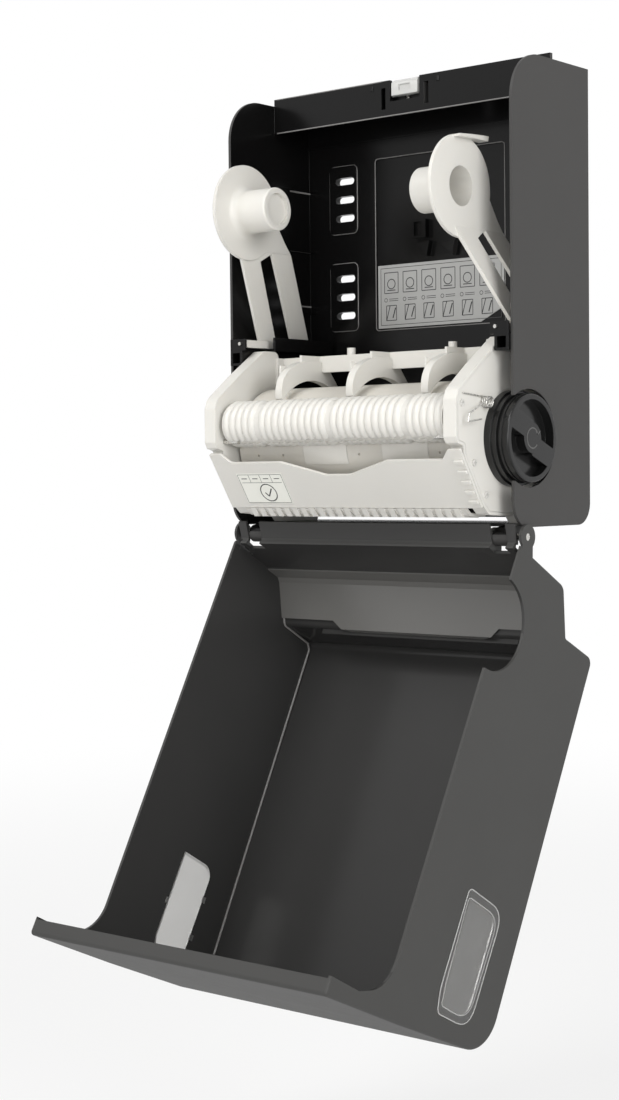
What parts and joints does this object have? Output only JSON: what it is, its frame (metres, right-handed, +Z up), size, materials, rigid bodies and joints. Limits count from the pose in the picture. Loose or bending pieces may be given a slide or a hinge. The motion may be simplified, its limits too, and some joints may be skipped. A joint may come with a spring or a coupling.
{
  "type": "roll paper towel dispenser",
  "caption": "Wall-hung roll paper towel dispenser, open, with swing-down cover, sprung roll arms, drum feed module with hidden blade and side feed knob.",
  "frame": {"origin": "middle of the four groups of wall screw slots, on the wall plane at the back of the casing", "axes": "+Z up, +Y into the wall, +X to the viewer's right when facing the dispenser"},
  "size_m": [0.3007, 0.3535, 0.7725],
  "materials": {
    "casing_black": "satin moulded black plastic",
    "cover_grey": "satin moulded dark warm grey plastic",
    "chute_grey": "smooth mid grey plastic",
    "window_grey": "translucent light grey plastic",
    "module_white": "off-white translucent moulded plastic",
    "drum_beige": "smooth warm white plastic",
    "bush_white": "low friction white plastic",
    "grip_white": "soft white rubber",
    "roller_grey": "grey rubber",
    "label_grey": "printed grey film",
    "label_white": "printed white film",
    "knob_black": "satin black plastic",
    "spring_steel": "bright drawn steel"
  },
  "bodies": {
    "housing": {"rear_housing": "casing_black", "instruction_label": "label_grey", "latch_spring": "spring_steel", "left_arm_bracket": "casing_black", "right_arm_bracket": "casing_black", "left_arm_pin": "spring_steel", "right_arm_pin": "spring_steel", "left_side_plate": "module_white", "right_side_plate": "module_white", "left_plate_cover": "module_white", "right_plate_cover": "module_white", "left_plate_screws": "spring_steel", "right_plate_screws": "spring_steel", "left_axle_bush": "bush_white", "right_axle_bush": "bush_white", "guide_frame": "module_white", "front_plate": "module_white", "exit_comb": "module_white", "inspection_label": "label_white", "left_press_bar_pin": "spring_steel", "right_press_bar_pin": "spring_steel", "press_bar_spring": "spring_steel", "knob_ring": "knob_black", "follower_pin": "spring_steel"},
    "cover": {"cover_shell": "cover_grey", "paper_chute": "chute_grey", "left_window": "window_grey", "right_window": "window_grey", "left_hinge_pin": "spring_steel", "right_hinge_pin": "spring_steel"},
    "left_roll_arm": {"left_arm": "module_white"},
    "right_roll_arm": {"right_arm": "module_white"},
    "feed_drum": {"drum_shell": "drum_beige", "left_drum_cap": "drum_beige", "right_drum_cap": "drum_beige", "drum_axle": "spring_steel", "grip_pads": "grip_white", "detent_cam": "bush_white", "knob": "knob_black"},
    "knife": {"knife_carrier": "module_white", "knife_blade": "spring_steel"},
    "follower": {"cam_follower": "bush_white"},
    "press_bar_body": {"press_bar": "module_white", "roller_axle": "spring_steel"},
    "roller": {"pressure_roller": "roller_grey"},
    "latch": {"latch_catch": "module_white"}
  },
  "joints": [
    {"name": "cover_hinge", "type": "hinge", "parent": "housing", "child": "cover", "pos_m": [0, -0.097, -0.25325], "axis": [1, 0, 0], "range_deg": [-150.76, 0]},
    {"name": "left_arm_splay", "type": "hinge", "parent": "housing", "child": "left_roll_arm", "pos_m": [-0.133, -0.067, -0.08855], "axis": [0, -1, 0], "range_deg": [0, 9], "stiffness_Nm_per_rad": 0.6, "springref_deg": -8.59},
    {"name": "right_arm_splay", "type": "hinge", "parent": "housing", "child": "right_roll_arm", "pos_m": [0.133, -0.067, -0.08855], "axis": [0, 1, 0], "range_deg": [0, 9], "stiffness_Nm_per_rad": 0.6, "springref_deg": -8.59},
    {"name": "knob_turn", "type": "hinge", "parent": "housing", "child": "feed_drum", "pos_m": [0, -0.0905, -0.17565], "axis": [1, 0, 0], "continuous": true},
    {"name": "knife_stroke", "type": "slide", "parent": "feed_drum", "child": "knife", "axis": [0, 0, -1], "range_m": [0, 0.005], "stiffness_N_per_m": 400, "springref_m": -0.004},
    {"name": "follower_lift", "type": "hinge", "parent": "housing", "child": "follower", "pos_m": [-0.1245, -0.056, -0.15975], "axis": [-1, 0, 0], "range_deg": [0, 8], "stiffness_Nm_per_rad": 0.02, "springref_deg": -17.19},
    {"name": "press_bar_pivot", "type": "hinge", "parent": "housing", "child": "press_bar_body", "pos_m": [0, -0.154, -0.17425], "axis": [1, 0, 0], "range_deg": [0, 20], "stiffness_Nm_per_rad": 0.6, "springref_deg": -11.46},
    {"name": "roller_spin", "type": "hinge", "parent": "press_bar_body", "child": "roller", "pos_m": [0, -0.14285, -0.15945], "axis": [1, 0, 0], "continuous": true},
    {"name": "latch_slide", "type": "slide", "parent": "housing", "child": "latch", "axis": [0, 0, -1], "range_m": [0, 0.0035], "stiffness_N_per_m": 400, "springref_m": -0.002, "deforming": ["latch_spring"]}
  ],
  "couplings": [
    {"joint": "roller_spin", "follows": "knob_turn", "ratio": -6.7857}
  ]
}
